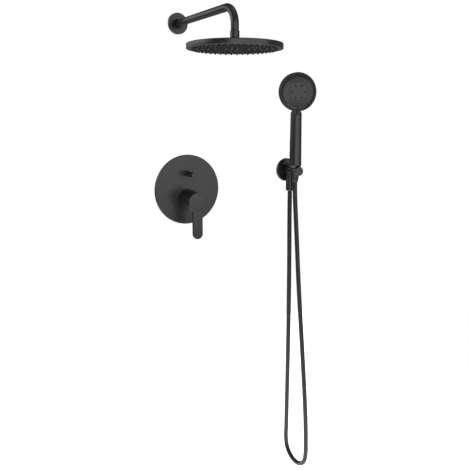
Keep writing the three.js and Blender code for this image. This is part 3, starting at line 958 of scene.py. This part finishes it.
def buildOutletBody(values):
    low, high, middle, size = boxOf("outlet_body")
    cone = boxOf("handset_cone_nut")[2]
    nipple = boxOf("outlet_nipple")[2]
    cupHigh = boxOf("holder_liner")[1].z
    cupLow = boxOf("holder_liner")[0].z - 0.0002
    flange = boxOf("bracket_flange")[2]
    x, z, front = flange.x, flange.z, boxOf("bracket_cap")[0].y + 0.0053
    piece = rod("outletBody", (x, 0, z), (x, front, z), values["barrel"], 96)
    softenEdges(piece, 0.0004, 2)
    combine(piece, rod("cup", (x, cone.y, cupLow), (x, cone.y, cupHigh), values["cup"], 96), "UNION")
    combine(piece, rod("stub", (x, nipple.y, low.z), (x, nipple.y, z), values["stub"], 80), "UNION")
    combine(piece, rod("thread", (x, high.y, z), (x, -0.001, z), values["thread"], 64), "UNION")
    above = bar("above", (x, cone.y, cupHigh + 0.02), (0.04, 0.06, 0.04))
    combine(piece, above, "DIFFERENCE")
    bore(piece, "cupBore", (x, cone.y, low.z - 0.01), (x, cone.y, cupHigh + 0.01), values["cupBore"], 96)
    combine(piece, bar("slot", (x + 0.015, cone.y, z), (0.03, values["slot"], 0.06)), "DIFFERENCE")
    bore(piece, "waterway", (x, high.y + 0.001, z), (x, -0.027, z), values["waterway"], 48)
    bore(piece, "stubBore", (x, nipple.y, low.z - 0.002), (x, nipple.y, z), values["stubBore"], 48)
    bore(piece, "pinHole", (x, front - 0.001, z), (x, front + 0.003, z), values["pinHole"], 32)
    softenEdges(piece, 0.00035, 2, 50)
    shadeSmooth(piece)
    return finishAs(piece, "root", "outlet_body")


def buildBracketCap():
    low, high, middle, size = boxOf("bracket_cap")
    radius, front, back = size.x / 2, -low.y, -high.y
    face = front - 0.0047
    profile = [(0, back), (0.0037, back), (0.0037, face), (radius, face)]
    profile += rounded(radius - 0.0012, front - 0.0012, 0.0012, 0, 90, 6)
    profile += [(radius * 0.5, front), (0, front)]
    piece = turnedOutward("bracketCap", middle, profile, 96)
    softenEdges(piece, 0.0002, 2)
    shadeSmooth(piece)
    return finishAs(piece, "root", "bracket_cap")


hoseNutValues = {"bore": 0.0044, "thread": 0.0102, "seat": 0.0264, "grooves": (0.004, 0.007)}


def buildOutletNut(values):
    low, high, middle, size = boxOf("outlet_hose_nut")
    radius, top, bottom = size.x / 2, high.z, low.z
    profile = [(values["bore"], bottom + 0.0005), (0.0066, bottom), (radius - 0.0014, bottom)]
    profile += [(radius, bottom + 0.002)]
    for groove in values["grooves"]:
        ring = bottom + 0.026 + groove
        profile += [(radius, ring), (radius - 0.0004, ring + 0.0003)]
        profile += [(radius - 0.0004, ring + 0.0009), (radius, ring + 0.0012)]
    profile += [(radius, top - 0.0008), (radius - 0.0006, top), (values["thread"], top),
                (values["thread"], bottom + values["seat"]),
                (values["bore"], bottom + values["seat"]), (values["bore"], bottom + 0.0005)]
    piece = turnedUpright("outletHoseNut", middle, profile)
    softenEdges(piece, 0.0003, 2, 25)
    shadeSmooth(piece, 35)
    return finishAs(piece, "root", "outlet_hose_nut")


coneNutValues = {
    "bore": 0.0044, "inside": 0.0108, "foot": 0.0082, "waist": 0.01095, "waistUp": 0.019, "seat": 0.0254,
}


def buildConeNut(values):
    low, high, middle, size = boxOf("handset_cone_nut")
    radius, top, bottom = size.x / 2, high.z, low.z
    profile = [(values["bore"], bottom), (values["foot"] - 0.0006, bottom), (values["foot"], bottom + 0.0008),
               (values["waist"], bottom + values["waistUp"]), (radius, top), (values["inside"], top),
               (values["inside"], bottom + values["seat"]), (values["bore"], bottom + values["seat"]),
               (values["bore"], bottom)]
    piece = turnedUpright("handsetConeNut", middle, profile)
    softenEdges(piece, 0.0003, 2, 25)
    shadeSmooth(piece, 30)
    return finishAs(piece, "hose_end", "handset_cone_nut")


handsetAxis = Vector(joints["handset_turn"]["pos_m"])
sprayAxis = Vector(joints["spray_select"]["axis"])
headHeight = joints["spray_select"]["pos_m"][2]
handsetTurn = math.atan2(sprayAxis.x, -sprayAxis.y)
handsetCentre = Vector((handsetAxis.x, handsetAxis.y, headHeight))


def turnedFaceOn(name, profile, steps=128):
    # profile pairs are radius and distance in front of the handset's axis
    points = [(handsetCentre.x + r, handsetCentre.y - h, headHeight) for r, h in profile]
    piece = spinLine(name, points, handsetCentre, (0, 1, 0), steps)
    return piece


handsetBodyValues = {
    "shell": [(0, -0.0112), (0.020, -0.0106), (0.034, -0.0087), (0.044, -0.0054), (0.0500, -0.0012),
              (0.0517, 0.0012)],
    "head": 0.052, "rim": 0.0116, "chamber": 0.0464, "chamberBack": 0.001,
    "handleTop": 0.0152, "handleBottom": 0.0167, "chamfer": 0.0060, "stub": 0.0103, "waterway": 0.0065,
    "voxel": 0.0009,
}


def buildHandsetBody(values):
    low, high, middle, size = boxOf("handset_body")
    cone = boxOf("handset_cone_nut")[1].z
    lowZ = cone + 0.0006
    wide, chamfer = values["handleBottom"], values["chamfer"]
    handle = [(0, low.z), (values["stub"], low.z), (values["stub"], lowZ), (wide - 0.0023, lowZ),
              (wide, lowZ + chamfer), (values["handleTop"], 0.1965), (0.0149, 0.1977), (0.0128, 0.1983),
              (0.0125, 0.207), (0.0110, 0.216),
              (0.0080, 0.224), (0, 0.228)]
    piece = turnedUpright("handsetBody", handsetAxis, handle, 96)
    head, rim = values["head"], values["rim"]
    shell = values["shell"] + [(head, 0.0028), (head, rim), (0, rim)]
    combine(piece, turnedFaceOn("shell", shell), "UNION")
    cutFrom = rim + 0.0001
    front = turnedFaceOn("front", [(0, cutFrom), (0.06, cutFrom), (0.06, 0.03), (0, 0.03)])
    combine(piece, front, "DIFFERENCE")
    wideRoom, backWall = values["chamber"], values["chamberBack"]
    room = [(0, backWall), (wideRoom, backWall), (wideRoom, 0.02), (0, 0.02)]
    chamber = turnedFaceOn("chamber", room)
    combine(piece, chamber, "DIFFERENCE")
    x, y = handsetAxis.x, handsetAxis.y
    bore(piece, "waterway", (x, y, low.z - 0.001), (x, y, headHeight - 0.030), values["waterway"], 40)
    combine(piece, bar("passage", (x, y - 0.001, headHeight - 0.042), (0.012, 0.011, 0.034)), "DIFFERENCE")
    remesh = piece.modifiers.new("remesh", "REMESH")
    remesh.mode = "VOXEL"
    remesh.voxel_size = values["voxel"]
    applyModifier(piece, remesh)
    softenNeck(piece)
    turnMesh(piece, handsetAxis, handsetTurn)
    shadeSmooth(piece, 60)
    return finishAs(piece, "handset", "handset_body")


def softenNeck(piece):
    # more smoothing where the handle runs into the head, a little everywhere
    neck = piece.vertex_groups.new(name="neck")
    for vertex in piece.data.vertices:
        height = vertex.co.z
        outside = vertex.co.y > handsetAxis.y - 0.0125
        share = max(0, 1 - abs(height - 0.214) / 0.018) if outside else 0
        neck.add([vertex.index], min(1, 0.12 + share), "REPLACE")
    smooth = piece.modifiers.new("smooth", "SMOOTH")
    smooth.factor = 0.5
    smooth.iterations = 24
    smooth.vertex_group = "neck"
    applyModifier(piece, smooth)
    piece.vertex_groups.clear()


faceValues = {
    "dome": [(0.0455, 0.0140), (0.040, 0.0156), (0.034, 0.0169), (0.027, 0.0179), (0.020, 0.0186),
             (0.010, 0.01905), (0, 0.0192)],
    "jetRing": 0.0182, "jet": 0.0020, "jets": 6,
    "rows": 40, "rowStart": 0.0245, "rowGap": 0.0036, "rowLength": 6,
    "nubFoot": 0.00075, "nubTip": 0.0005, "nubHeight": 0.0005,
    "matInner": 0.010, "matOuter": 0.0435, "matBack": 0.009, "matFront": 0.0112,
}


def domeHeight(radius, dome):
    for (outer, low), (inner, high) in zip(dome, dome[1:]):
        if inner <= radius <= outer:
            return low + (high - low) * (outer - radius) / (outer - inner)
    return dome[0][1]


def buildHandsetFace(values):
    dome = values["dome"]
    profile = [(0, 0.0118), (0.046, 0.0118), (0.046, 0.0136)] + dome
    piece = turnedFaceOn("handsetFace", profile, 144)
    jetPlaces = []
    for i in range(values["jets"]):
        angle = i * 2 * math.pi / values["jets"]
        jetPlaces.append(handsetCentre + Vector((math.cos(angle), 0, math.sin(angle))) * values["jetRing"])
    for place in jetPlaces:
        jet = rod("jet", place + Vector((0, -0.0105, 0)), place + Vector((0, -0.03, 0)), values["jet"], 28)
        combine(piece, jet, "DIFFERENCE")
    softenEdges(piece, 0.0003, 2, 35)
    turnMesh(piece, handsetAxis, handsetTurn)
    shadeSmooth(piece, 30)
    return finishAs(piece, "handset", "handset_face_plate")


def buildFaceNozzles(values):
    # the silicone mat behind the face, with a nub through the face for each fine jet
    inner, outer, back, front = values["matInner"], values["matOuter"], values["matBack"], values["matFront"]
    profile = [(inner, back), (outer, back), (outer, front), (inner, front), (inner, back)]
    mat = turnedFaceOn("handsetNozzleMat", profile, 96)
    nub = nozzleShape("nub", values["nubFoot"], values["nubTip"], values["nubHeight"], 0.0002, 8)
    nub.data.transform(Matrix.Rotation(-math.pi / 2, 4, "X"))
    places = []
    for row in range(values["rows"]):
        angle = 2 * math.pi * row / values["rows"]
        for step in range(values["rowLength"]):
            radius = values["rowStart"] + step * values["rowGap"]
            out = domeHeight(radius, values["dome"]) - 0.0001
            places.append(handsetCentre + Vector((radius * math.cos(angle), -out, radius * math.sin(angle))))
    joinAll(mat, copyTo(nub, places))
    turnMesh(mat, handsetAxis, handsetTurn)
    shadeSmooth(mat, 38)
    return finishAs(mat, "handset", "handset_nozzle_mat")


selectorValues = {
    "inner": 0.0464, "outer": 0.052, "back": 0.012, "front": 0.0156,
    "tabWide": 0.007, "tabDeep": 0.0034, "tabTall": 0.007,
}


def buildSelector(values):
    inner, outer, back, front = values["inner"], values["outer"], values["back"], values["front"]
    profile = [(inner, back), (outer, back), (outer, front - 0.0016)]
    profile += rounded(outer - 0.0014, front - 0.0014, 0.0014, 0, 80, 5)
    profile += [(inner, front - 0.001), (inner, back)]
    piece = turnedFaceOn("spraySelector", profile, 160)
    tabZ = headHeight - outer - 0.001
    tab = bar("tab", (handsetAxis.x, handsetAxis.y - 0.0174, tabZ + 0.001),
              (values["tabWide"], values["tabDeep"], values["tabTall"]))
    softenEdges(tab, 0.0009, 3)
    root = bar("tabRoot", (handsetAxis.x, handsetAxis.y - 0.0150, tabZ + 0.0032),
               (values["tabWide"], 0.004, 0.0035))
    combine(piece, root, "UNION")
    combine(piece, tab, "UNION")
    turnMesh(piece, handsetAxis, handsetTurn)
    shadeSmooth(piece, 35)
    return finishAs(piece, "selector", "spray_selector")


buildFlange("bracketFlange", "bracket_flange", "bracket_cap", flangeValues)
buildOutletBody(outletValues)
buildBracketCap()
buildOutletNut(hoseNutValues)
buildConeNut(coneNutValues)
buildHandsetBody(handsetBodyValues)
buildHandsetFace(faceValues)
buildFaceNozzles(faceValues)
buildSelector(selectorValues)
print("hand shower built")


# ---- studio

studioValues = {
    "floorHeight": -1.15,
    "floorTone": (0.90, 0.90, 0.90),
    "floorSize": 3.4,
    "floorGlow": 1.4,
    "roomTone": 0.16,  # what the pieces see round them
    "lights": [
        # name, place, size across and up, watts
        ("keySoftbox", (1.0, -2.9, 0.35), (3.2, 2.6), 27),
        ("leftSoftbox", (-2.5, 0.9, 1.2), (2.2, 1.6), 20),
        ("backLeftPanel", (-1.2, 2.1, 0.85), (1.8, 1.2), 5),
        ("cameraFill", (-1.3, -3.0, 0.2), (1.8, 2.4), 18),
        ("topPanel", (0.2, -0.8, 2.6), (2.4, 2.0), 7),
    ],
    "aim": (0.1, -0.1, -0.05),
}


def buildWorld(values):
    world = bpy.data.worlds.new("studio")
    bpy.context.scene.world = world
    world.use_nodes = True
    nodes, links = world.node_tree.nodes, world.node_tree.links
    seen = nodes["Background"]
    seen.inputs["Color"].default_value = (1, 1, 1, 1)
    seen.inputs["Strength"].default_value = 1
    around = nodes.new("ShaderNodeBackground")
    around.inputs["Color"].default_value = (1, 1, 1, 1)
    around.inputs["Strength"].default_value = values["roomTone"]
    path = nodes.new("ShaderNodeLightPath")
    mix = nodes.new("ShaderNodeMixShader")
    links.new(path.outputs["Is Camera Ray"], mix.inputs["Fac"])
    links.new(around.outputs["Background"], mix.inputs[1])
    links.new(seen.outputs["Background"], mix.inputs[2])
    links.new(mix.outputs["Shader"], nodes["World Output"].inputs["Surface"])


def buildFloor(values):
    deselectAll()
    bpy.ops.mesh.primitive_plane_add(size=values["floorSize"], location=(0, 0, values["floorHeight"]))
    floor = finishPlace(bpy.context.object, "paleFloor")
    material = bpy.data.materials.new("paleFloor")
    material.use_nodes = True
    shader = material.node_tree.nodes["Principled BSDF"]
    shader.inputs["Base Color"].default_value = (*values["floorTone"], 1)
    shader.inputs["Roughness"].default_value = 0.9
    shader.inputs["Specular IOR Level"].default_value = 0.1
    shader.inputs["Emission Color"].default_value = (1, 1, 1, 1)
    shader.inputs["Emission Strength"].default_value = values["floorGlow"]
    floor.data.materials.append(material)


def buildLights(values):
    for name, place, size, watts in values["lights"]:
        data = bpy.data.lights.new(name, "AREA")
        data.shape = "RECTANGLE"
        data.size, data.size_y = size
        data.energy = watts
        light = bpy.data.objects.new(name, data)
        light.location = place
        light.visible_camera = False
        aim = Vector(values["aim"]) - Vector(place)
        light.rotation_euler = aim.to_track_quat("-Z", "Y").to_euler()
        bpy.context.scene.collection.objects.link(light)


buildWorld(studioValues)
buildFloor(studioValues)
buildLights(studioValues)
bpy.context.scene.view_settings.view_transform = "Standard"
print("studio lit")
